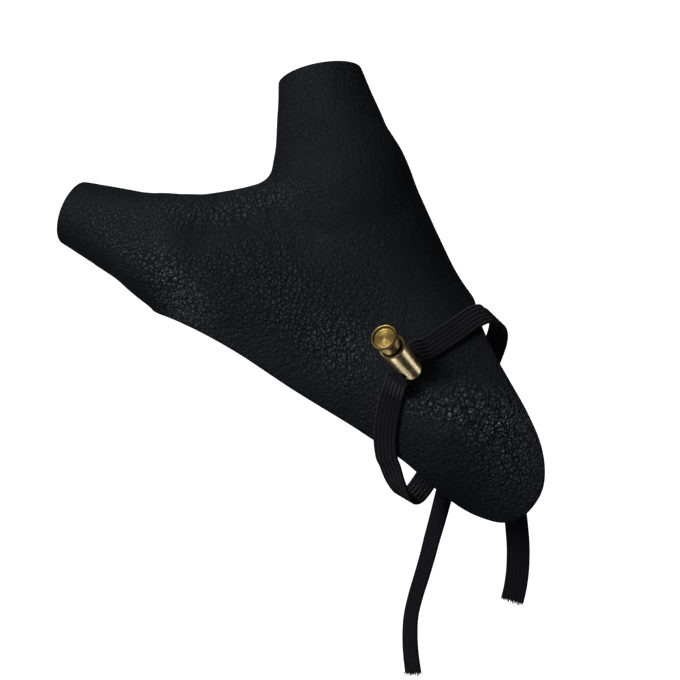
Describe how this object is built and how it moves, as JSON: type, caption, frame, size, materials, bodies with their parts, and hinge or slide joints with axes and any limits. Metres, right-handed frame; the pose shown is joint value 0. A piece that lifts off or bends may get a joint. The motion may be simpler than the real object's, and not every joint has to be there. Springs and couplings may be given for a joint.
{
  "type": "archery bow-hand glove",
  "caption": "Leather bow-hand glove with a thumb sleeve and an index sleeve, held by an elastic wrist band that is drawn tight with a sprung brass cord lock.",
  "frame": {"origin": "middle of the wrist, inside the band's loop", "axes": "-X towards the index sleeve's mouth, +Z towards the thumb sleeve's mouth, -Y out of the back of the hand, where the cord lock stands"},
  "size_m": [0.1605, 0.0799, 0.2046],
  "materials": {
    "leather": "pebbled, soft sheen",
    "brass": "turned, a little worn",
    "elastic": "ribbed weave"
  },
  "bodies": {
    "glove": {"leather_glove": "leather", "lock_barrel": "brass", "wrist_band": "elastic", "band_knot": "elastic", "tail_long": "elastic", "tail_short": "elastic"},
    "plunger": {"lock_plunger": "brass"}
  },
  "joints": [
    {"name": "plunger_press", "type": "slide", "parent": "glove", "child": "plunger", "axis": [0.3573, 0.8387, -0.411], "range_m": [0, 0.002], "stiffness_N_per_m": 2000}
  ]
}
